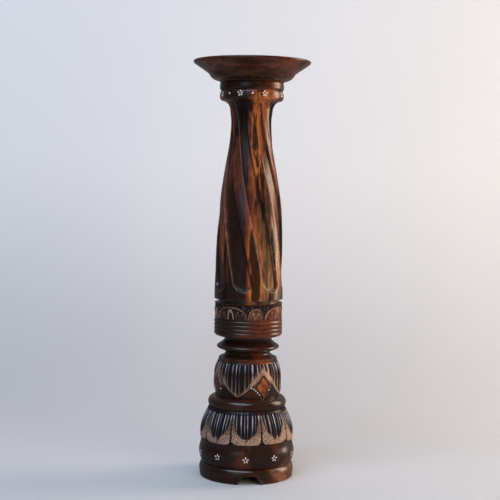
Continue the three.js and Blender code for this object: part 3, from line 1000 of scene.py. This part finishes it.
def carve_flutes(carving, turn, radius, height):
    """Spiral flutes with steep walls, a scooped low end and a rounded high end."""
    foot = room("column")[0] + SPIGOT
    start, end = foot + 14.5, foot + 281.5
    scoop, rounding = 12.0, 4.5
    pitch = 360 / carving.flutes
    first = -7.4
    twist = math.degrees(carving.flute_twist)
    floor_share, wall_share = 0.28, 0.70  # of the grid, up to the wall and past it
    wall = 0.065
    share = limited((height - start) / (end - start))
    u, number = across(turn, first, carving.flutes)
    half = 0.62 - 0.20 * share
    far = np.abs(u)
    on_floor = far / floor_share * (half - wall)
    on_wall = half - wall + (far - floor_share) / (wall_share - floor_share) * 2 * wall
    on_land = half + wall + (far - wall_share) / (1 - wall_share) * (1 - half - wall)
    size = np.where(far < floor_share, on_floor, np.where(far < wall_share, on_wall, on_land))
    a = np.sign(u) * size
    turned_by = -twist * (0.85 * share + 0.15 * share**2)
    turn = first + (number + a / 2) * pitch + turned_by
    on_shaft = (radius > 20) & (height > start - 2.5) & (height < end + 2)
    below = np.clip((start + scoop - height) / scoop, 0, 2)
    above = np.clip((height - end + rounding) / rounding, 0, 2)
    reach = np.sqrt((size / half) ** 2 + below**2 + above**2)
    steep = limited((1 - reach) / (2 * wall / half) + 0.5)
    cut = np.sin(steep * np.pi / 2) * (0.86 + 0.14 * (1 - np.clip(reach, 0, 1) ** 2))
    depth = carving.flute_depth * (1 - 0.3 * share)
    crown = -0.5 * np.clip(1 - (reach - 1) / 0.35, 0, 1) ** 2 * (cut < 0.02)
    relief = (crown - depth * cut) * on_shaft
    fade = smooth((end - height) / 12) * (radius > 20)
    wave = (0.2 * waver(turn, height, 1.0) + 0.2 * np.sin(number * 2.7 + height * 0.05)) * fade
    collar_crest, collar_hollow = outline_marks(radius)
    # Painted highlight: a pale line along the arrises of the flutes, stronger on their left edges,
    # which face the light.
    arris = peak(reach - 1 - wall / half, 0.05) * on_shaft
    patchy = smooth(waver(turn * 2, height * 1.5, 5.0) + 0.4)
    arris_highlight = arris * (0.08 - 0.05 * np.sign(u)) * patchy
    marks = {"crest": limited(arris_highlight + collar_crest * 0.08)}
    # Painted shadow: the foot of each flute's walls is darkened, much more on the right wall, which
    # faces away from the light.
    corner = peak(reach - 1 + wall / half, 0.11) * on_shaft
    corner = corner * (0.25 + 0.75 * smooth(u / 0.3))
    marks["hollow"] = limited(corner + collar_hollow * 0.5)
    marks["sap"], marks["glow"] = column_figure(turn, height - foot)
    # The wood is darker down in the flutes and lighter on the lands, as stain and painted shade.
    marks["glow"] = marks["glow"] - 0.4 * cut + 0.2
    return turn, relief + wave, marks


# Brighter or darker patches on the column: middle turn, half width, height, reach and strength.
COLUMN_PATCHES = (
    (9, 14, 37, 60, 1.2), (-52, 14, 52, 80, 0.7), (24, 16, 232, 60, 0.7), (26, 10, 150, 50, -0.5),
    (-55, 16, 235, 50, 0.7), (66, 16, 100, 120, 0.8), (120, 22, 110, 90, 0.8),
    (-135, 20, 80, 70, 0.8), (190, 18, 190, 90, 0.8), (-13, 15, 262, 24, -0.4),
    (10, 14, 262, 34, 0.8), (-14, 26, 291, 12, -0.8), (-40, 34, 4, 14, -0.8),
    (50, 40, 6, 12, -0.7), (0, 40, 160, 60, 0.3), (80, 30, 130, 200, -0.3), (12, 14, 20, 60, 0.5),
    (46, 26, 290, 16, 0.2), (-45, 25, 288, 18, -0.6), (-42, 18, 258, 26, -0.6),
    (4, 12, 185, 40, 0.5), (38, 12, 120, 60, -0.5), (-18, 12, 60, 60, -0.4),
)


def column_figure(turn, rise):
    """Sapwood down one side of the log, a little darker down the front left, and a few bright or dark
    patches.
    """
    near = np.cos(np.radians(turn - 44))
    fading = (0.8 - 0.65 * smooth((rise - 40) / 100)) * smooth((rise + 12) / 30)
    sap = smooth((near - 0.84) / 0.15) * fading
    glow = -0.2 * smooth((np.cos(np.radians(turn + 27)) - 0.85) / 0.15)
    for middle, half, height, reach, strength in COLUMN_PATCHES:
        patch = peak(turned_from(turn, middle), half) * peak(rise - height, reach)
        glow = glow + strength * patch
    return limited(sap), glow


# ---- Painted dabs ----


def dab(work, wall, turn, height, along, wide, tilt, rise=0.35):
    """One drop of paint, an ellipse that follows the surface, tilted by degrees."""
    rings, spokes, sunk = 3, 14, 0.12
    points = []
    tilt = math.radians(tilt)
    for ring in range(rings + 1):
        out = 1 - ring / rings
        for k in range(spokes if ring < rings else 1):
            angle = 2 * math.pi * k / spokes
            x, z = along * out * math.cos(angle), wide * out * math.sin(angle)
            side = x * math.cos(tilt) - z * math.sin(tilt)
            up = x * math.sin(tilt) + z * math.cos(tilt)
            base = reached(wall, height + up)
            r = base + rise * (1 - out**2) - (sunk if ring == 0 else 0)
            a = math.radians(turn) + side / base
            point = (r * math.sin(a) * MM, -r * math.cos(a) * MM, (height + up) * MM)
            points.append(work.verts.new(point))
    for ring in range(rings):
        for k in range(spokes):
            n = (k + 1) % spokes
            low, high = ring * spokes, (ring + 1) * spokes
            if ring < rings - 1:
                work.faces.new([points[low + k], points[low + n], points[high + n], points[high + k]])
            else:
                work.faces.new([points[low + k], points[low + n], points[high]])
    work.faces.new([points[k] for k in reversed(range(spokes))])


def flower(work, wall, turn, height, size, seed, wide=0.088):
    """Five petals round an open middle."""
    petals = 5
    out = size * 0.32
    for k in range(petals):
        angle = 90 + 360 * k / petals + 9 * math.sin(seed * 1.9 + k)
        up = height + out * math.sin(math.radians(angle))
        side = math.degrees(out * math.cos(math.radians(angle)) / reached(wall, up))
        dab(work, wall, turn + side, up, size * 0.18, size * wide, angle)


def painted(name, paint):
    """Makes one piece from the dabs that paint(work) adds."""
    work = bmesh.new()
    paint(work)
    mesh = bpy.data.meshes.new(name)
    face_outwards(work, mesh)
    shaded(mesh, math.radians(60))
    return keep(name, mesh, white_paint(), "dark_wood")


# ---- Operators ----


class PieceOperator:
    """What every operator that makes a piece shares."""

    bl_options = {"REGISTER", "UNDO"}

    @property
    def carving(self):
        return bpy.context.scene.candlestick_carving


class CANDLESTICK_OT_foot(PieceOperator, bpy.types.Operator):
    """Makes the hollow foot ring with its arched cut-outs."""

    bl_idname = "candlestick.foot"
    bl_label = "Foot Ring"

    def execute(self, context):
        low, high, r = room("foot_ring")
        hollow = 44
        outline = [*foot_wall(), *line((hollow, high), (hollow, low), 3), (hollow, low)]
        # The dark and bright settings paint shade and light: the foot is darker, and paler round the
        # middle turn where the light falls.
        piece = plain_piece(
            "foot_ring", outline, turned_wood(), segments=240, seed=7.0, dark=-0.75, bright=-0.2,
            middle=52, sap=0.5,
        )
        cutter = self.arch_cutter(low, r)
        cut = piece.modifiers.new("arches", "BOOLEAN")
        cut.operation = "DIFFERENCE"
        cut.object = cutter
        cut.solver = "EXACT"
        evaluated = piece.evaluated_get(context.evaluated_depsgraph_get())
        piece.data = bpy.data.meshes.new_from_object(evaluated)
        piece.modifiers.clear()
        shaded(piece.data, math.radians(30))
        bpy.data.objects.remove(cutter)
        return {"FINISHED"}

    def arch_cutter(self, low, r):
        """Upright arches, from inside the hollow out past the wall."""
        half, tall, first = 17.2, 12.4, 4
        shoulder = (half * 0.68, low + tall - 0.2)
        crown = (half * 0.27, low + tall)
        side = bend((half, low), (half * 0.78, low + 5.5), shoulder, crown, 0.8)
        arch = [(half, low - 2), *side, crown]
        arch = [*arch, *[(-x, z) for x, z in reversed(arch)]]
        work = bmesh.new()
        for k in range(self.carving.arches):
            angle = math.radians(first + 360 * k / self.carving.arches)
            turn = Matrix.Rotation(angle, 4, "Z")
            rings = [
                [work.verts.new(turn @ (Vector((x, -y, z)) * MM)) for x, z in arch]
                for y in (r * 0.4, r + 3)
            ]
            for i in range(len(arch)):
                j = (i + 1) % len(arch)
                work.faces.new([rings[0][i], rings[0][j], rings[1][j], rings[1][i]])
            for ring in rings:
                work.faces.new(ring)
        mesh = bpy.data.meshes.new("arch_cutter")
        face_outwards(work, mesh)
        cutter = linked("arch_cutter", mesh)
        bpy.context.view_layer.update()
        return cutter


class CANDLESTICK_OT_base(PieceOperator, bpy.types.Operator):
    """Makes the domed base and carves its petals."""

    bl_idname = "candlestick.base"
    bl_label = "Domed Base"

    def execute(self, context):
        shape = partial(carve_petals, self.carving)
        turned_piece("lotus_base", bored(base_wall()), 680, shape, carved_wood(), "carved_wood")
        return {"FINISHED"}


class CANDLESTICK_OT_torus(PieceOperator, bpy.types.Operator):
    """Makes the round ring on the base."""

    bl_idname = "candlestick.torus"
    bl_label = "Torus Ring"

    def execute(self, context):
        outline = bored(torus_wall())
        # The dark and bright settings paint shade and light: the ring is darker away from the side
        # where the light falls.
        plain_piece("torus_ring", outline, turned_wood(), seed=5.0, dark=-0.55, bright=0.1)
        return {"FINISHED"}


class CANDLESTICK_OT_bulb(PieceOperator, bpy.types.Operator):
    """Makes the bulb and carves its lappets and diamonds."""

    bl_idname = "candlestick.bulb"
    bl_label = "Carved Bulb"

    def execute(self, context):
        shape = partial(carve_lappets, self.carving)
        turned_piece("lotus_bulb", bored(bulb_wall()), 540, shape, carved_wood(), "carved_wood")
        return {"FINISHED"}


class CANDLESTICK_OT_spool(PieceOperator, bpy.types.Operator):
    """Makes the spool with its thin disc."""

    bl_idname = "candlestick.spool"
    bl_label = "Waist Spool"

    def execute(self, context):
        outline = bored(spool_wall())
        # The dark and bright settings paint shade and light: the spool is darker away from the side
        # where the light falls.
        wear_and_light = {"seed": 6.0, "dark": -0.85, "bright": -0.1, "middle": 30}
        plain_piece("waist_spool", outline, turned_wood(), **wear_and_light)
        return {"FINISHED"}


class CANDLESTICK_OT_reeds(PieceOperator, bpy.types.Operator):
    """Makes the band of reeds."""

    bl_idname = "candlestick.reeds"
    bl_label = "Reeded Band"

    def execute(self, context):
        outline = bored(reeded_wall(self.carving.reeds))
        # The bright setting paints light: the band is paler on the side where the light falls.
        plain_piece("reeded_band", outline, turned_wood(), seed=8.0, bright=0.6)
        return {"FINISHED"}


class CANDLESTICK_OT_band(PieceOperator, bpy.types.Operator):
    """Makes the narrow band and carves its arches."""

    bl_idname = "candlestick.band"
    bl_label = "Carved Band"

    def execute(self, context):
        outline = bored(band_wall())
        turned_piece("carved_band", outline, 720, carve_band, carved_wood(), "carved_wood")
        return {"FINISHED"}


class CANDLESTICK_OT_column(PieceOperator, bpy.types.Operator):
    """Makes the column, with its flutes, collar and tenon."""

    bl_idname = "candlestick.column"
    bl_label = "Fluted Column"

    def execute(self, context):
        low, high, _ = room("column")
        socket = room("core_dowel")[1] + FIT
        shank_low = room("candle_spike")[0] - FIT
        wall = column_wall()
        outline = [
            (0, socket), (BORE, socket), (BORE, low), *wall, (TENON, wall[-1][1]), (TENON, high),
            (SHANK_HOLE, high), (SHANK_HOLE, shank_low), (0, shank_low),
        ]
        segments = 50 * self.carving.flutes
        shape = partial(carve_flutes, self.carving)
        turned_piece("column", outline, segments, shape, column_wood(), "column_wood")
        return {"FINISHED"}


class CANDLESTICK_OT_neck(PieceOperator, bpy.types.Operator):
    """Makes the ring between the collar and the dish."""

    bl_idname = "candlestick.neck"
    bl_label = "Neck Ring"

    def execute(self, context):
        wall = neck_wall()
        hole = TENON + FIT
        outline = [*wall, (hole, wall[-1][1]), (hole, wall[0][1])]
        # The dark and bright settings paint shade and light: the ring is darker away from the side
        # where the light falls.
        wear_and_light = {"seed": 9.0, "dark": -0.4, "bright": 0.5, "middle": 40}
        plain_piece("neck_ring", outline, board_wood(), **wear_and_light)
        return {"FINISHED"}


class CANDLESTICK_OT_dish(PieceOperator, bpy.types.Operator):
    """Makes the flared dish."""

    bl_idname = "candlestick.dish"
    bl_label = "Drip Dish"

    def execute(self, context):
        low, high, r = room("drip_dish")
        seat, floor, plate = room("spike_plate")
        plate, hole, tenon_top = plate + FIT, TENON + FIT, room("column")[1] + FIT
        outline = [
            *path(
                (hole, low),
                (3, (46.4, low)),
                (0.6, (47.8, low + 1.5)),
                (0.7, (54, low + 2.7), (57, low + 4.1), (60.3, low + 8.5)),
                (0.7, (61.6, low + 10.5), (62.5, low + 12.5), (65, low + 13.9)),
                (0.9, (r - 2.3, high - 5)),
                (0.5, (r, high - 3.2), (r, high - 1.8)),
                (0.4, (r - 0.4, high), (r - 1.9, high)),
                (0.4, (r - 3.2, high), (r - 4.2, high - 0.9)),
                (1.2, (73, high - 6), (62, floor + 1.4), (54, floor)),
                (3, (plate, floor)),
            ),
            (plate, seat),
            *path((plate, seat), (4, (SHANK_HOLE, seat))),
            (SHANK_HOLE, tenon_top),
            (hole, tenon_top),
        ]
        # The dark and bright settings paint shade and light: the dish is paler on the side where the
        # light falls.
        wear_and_light = {"seed": 1.5, "dark": -0.05, "bright": 0.4, "middle": 75}
        plain_piece("drip_dish", outline, board_wood(), segments=288, **wear_and_light)
        return {"FINISHED"}


class CANDLESTICK_OT_paint(PieceOperator, bpy.types.Operator):
    """Paints the flowers and dots on the base, the bulb and the collar."""

    bl_idname = "candlestick.paint"
    bl_label = "Painted Marks"

    def execute(self, context):
        painted("painted_base_flowers", self.base_flowers)
        painted("painted_bulb_dots", self.bulb_dots)
        column = column_wall()
        top = column[-1][1]
        collar = [p for p in column if p[1] > top - 14.4]
        middle = top - 5.6
        painted("painted_collar_flowers", lambda work: [
            flower(work, collar, -21 + 45 * k, middle, 9.0, k + 3, 0.12) for k in range(8)
        ])
        painted("painted_collar_dots", lambda work: [
            dab(work, collar, 1.5 + 45 * k, middle, 1.5, 1.5, 0, 0.6) for k in range(8)
        ])
        return {"FINISHED"}

    def base_flowers(self, work):
        wall = base_wall()
        for k in range(10):
            height = room("lotus_base")[0] + 15 + 0.8 * math.sin(k * 2.2)
            flower(work, wall, 36 * k - 0.5, height, 9.6, k)

    def bulb_dots(self, work):
        """Small dots along the lower edges of each diamond, more on its left."""
        wall = bulb_wall()
        middle_height = room("lotus_bulb")[0] + DIAMOND_MIDDLE
        left = [(-1.6 + 1.3 * dot / 5, -0.06 - 0.9 * (dot / 5) ** 1.4) for dot in range(5)]
        for k in range(self.carving.lappets):
            middle = DIAMOND_TURN + 360 * k / self.carving.lappets
            for side, up in (*left, (0.82, -0.3)):
                height = middle_height + DIAMOND_HALF_HEIGHT * up
                dab(work, wall, middle + side * DIAMOND_HALF_TURN, height, 0.9, 0.9, 0, 0.9)


class CANDLESTICK_OT_hardware(PieceOperator, bpy.types.Operator):
    """Finishes the steel spike, plate, screws and washer, and the hidden dowel."""

    bl_idname = "candlestick.hardware"
    bl_label = "Steel and Dowel"

    def execute(self, context):
        for name, node in frame["nodes"].items():
            if node.hide_render:
                continue
            node.data.materials.clear()
            node.data.materials.append(bare_wood() if name == "core_dowel" else steel())
        return {"FINISHED"}


class CANDLESTICK_OT_stage(bpy.types.Operator):
    """Makes the floor, the lights and the camera."""

    bl_idname = "candlestick.stage"
    bl_label = "Studio"

    def execute(self, context):
        studio = context.scene.candlestick_studio
        self.backdrop(studio)
        self.world(studio)
        warm, blue = (1.0, 0.82, 0.64), (0.60, 0.77, 1.0)
        self.light("warm_side", (1.6, 0.5, 0.75), (1.0, 1.5), studio.warm_power, warm)
        fill = self.light("warm_fill", (1.4, -1.7, 0.7), (1.9, 1.9), studio.fill_power, warm)
        fill.visible_glossy = False
        self.light("sky_above", (-0.55, -1.05, 1.9), (2.0, 0.9), studio.sky_power, blue)
        self.light("sky_side", (-0.9, -2.2, 0.95), (1.6, 0.7), studio.side_power, blue)
        self.camera(studio)
        context.scene.view_settings.view_transform = "Standard"
        return {"FINISHED"}

    def backdrop(self, studio):
        """A floor that sweeps up into a wall, and lets a view or a light through from its back."""
        near, far, sweep, tall, half = -3.0, 0.35, 0.4, 2.8, 3.2
        steps = 16
        profile = [(near, 0.0)]
        for k in range(steps + 1):
            a = math.pi / 2 * k / steps
            profile.append((far + sweep * math.sin(a), sweep * (1 - math.cos(a))))
        profile.append((far + sweep, tall))
        points = [(x, y, z) for y, z in profile for x in (-half, half)]
        faces = [(2 * k, 2 * k + 1, 2 * k + 3, 2 * k + 2) for k in range(len(profile) - 1)]
        mesh = bpy.data.meshes.new("backdrop")
        mesh.from_pydata(points, [], faces)
        shaded(mesh, math.radians(60))
        sheet = linked("backdrop", mesh)
        material, tree, inputs = principled("pale_backdrop", Roughness=0.8)
        place = tree.object_place()
        # A gloss sees it dim, as if dark cards stood round the stand.
        glossy = tree.add("LightPath").outputs["Is Glossy Ray"]
        shown = tree.maths("SUBTRACT", 1.0, tree.times(glossy, 0.8))
        patch = tree.noise(place, 2.5, 2)
        pale = tree.mix(patch, (0.69, 0.68, 0.69), (0.74, 0.73, 0.735))
        tree.feed(inputs["Base Color"], tree.mix(1.0, pale, shown, "MULTIPLY"))
        split = tree.add("SeparateXYZ")
        tree.feed(split.inputs[0], place)
        wall = tree.stretch(split.outputs["Z"], 0.0, 0.5)
        warm = tree.stretch(split.outputs["X"], -0.5, 0.5)
        glow = tree.mix(warm, (0.86, 0.90, 1.0), (1.0, 0.97, 0.92))
        strength = tree.times(wall, shown)
        tree.feed(inputs["Emission Color"], tree.mix(1.0, glow, strength, "MULTIPLY"))
        inputs["Emission Strength"].default_value = studio.backdrop_glow
        clear = tree.add("BsdfTransparent")
        chosen = tree.add("MixShader")
        tree.feed(chosen.inputs[0], tree.add("NewGeometry").outputs["Backfacing"])
        nodes = tree.tree.nodes
        tree.feed(chosen.inputs[1], nodes["Principled BSDF"].outputs[0])
        tree.feed(chosen.inputs[2], clear.outputs[0])
        tree.feed(nodes["Material Output"].inputs["Surface"], chosen.outputs[0])
        mesh.materials.append(material)

    def world(self, studio):
        """Pale to look at, and dim as a light."""
        world = bpy.data.worlds.new("surroundings")
        bpy.context.scene.world = world
        world.use_nodes = True
        tree = Tree(world.node_tree)
        seen = tree.add("LightPath").outputs["Is Camera Ray"]
        background = world.node_tree.nodes["Background"]
        dim = tuple(studio.dim_light * c for c in (0.80, 0.88, 1.0))
        tree.feed(background.inputs["Color"], tree.mix(seen, dim, (0.62, 0.63, 0.66)))

    def light(self, name, place, size, power, tint):
        lamp = bpy.data.lights.new(name, "AREA")
        lamp.shape = "ELLIPSE"
        lamp.size, lamp.size_y = size
        lamp.energy = power
        lamp.color = tint
        holder = linked(name, lamp)
        holder.location = place
        middle = Vector((0, 0, 0.3))
        holder.rotation_euler = (middle - Vector(place)).to_track_quat("-Z", "Y").to_euler()
        return holder

    def camera(self, studio):
        lens = bpy.data.cameras.new("camera")
        lens.lens = studio.lens
        lens.sensor_width = 36
        holder = linked("camera", lens)
        upright = Matrix.Rotation(math.pi / 2 - studio.pitch, 4, "X")
        rolled = upright @ Matrix.Rotation(studio.roll, 4, "Z")
        holder.matrix_world = Matrix.Translation((0.0009, -studio.distance, studio.height)) @ rolled
        bpy.context.scene.camera = holder


class CANDLESTICK_PT_panel(bpy.types.Panel):
    """Lists the steps that build the candlestick."""

    bl_label = "Candlestick"
    bl_idname = "CANDLESTICK_PT_panel"
    bl_space_type = "VIEW_3D"
    bl_region_type = "UI"
    bl_category = "Candlestick"

    def draw(self, context):
        for settings in ("candlestick_carving", "candlestick_finish", "candlestick_studio"):
            box = self.layout.box()
            group = getattr(context.scene, settings)
            for name in group.__annotations__:
                box.prop(group, name)
        for step in STEPS:
            self.layout.operator(step.bl_idname)


STEPS = (
    CANDLESTICK_OT_stage,
    CANDLESTICK_OT_foot,
    CANDLESTICK_OT_base,
    CANDLESTICK_OT_torus,
    CANDLESTICK_OT_bulb,
    CANDLESTICK_OT_spool,
    CANDLESTICK_OT_reeds,
    CANDLESTICK_OT_band,
    CANDLESTICK_OT_column,
    CANDLESTICK_OT_neck,
    CANDLESTICK_OT_dish,
    CANDLESTICK_OT_paint,
    CANDLESTICK_OT_hardware,
)
SETTINGS = {
    "candlestick_carving": CandlestickCarving,
    "candlestick_finish": CandlestickFinish,
    "candlestick_studio": CandlestickStudio,
}
CLASSES = (*SETTINGS.values(), *STEPS, CANDLESTICK_PT_panel)


def register():
    for cls in CLASSES:
        bpy.utils.register_class(cls)
    for name, cls in SETTINGS.items():
        setattr(bpy.types.Scene, name, PointerProperty(type=cls))


def unregister():
    for name in SETTINGS:
        delattr(bpy.types.Scene, name)
    for cls in reversed(CLASSES):
        bpy.utils.unregister_class(cls)


def main():
    register()
    for step in STEPS:
        group, name = step.bl_idname.split(".")
        getattr(getattr(bpy.ops, group), name)()


if __name__ == "__main__":
    main()
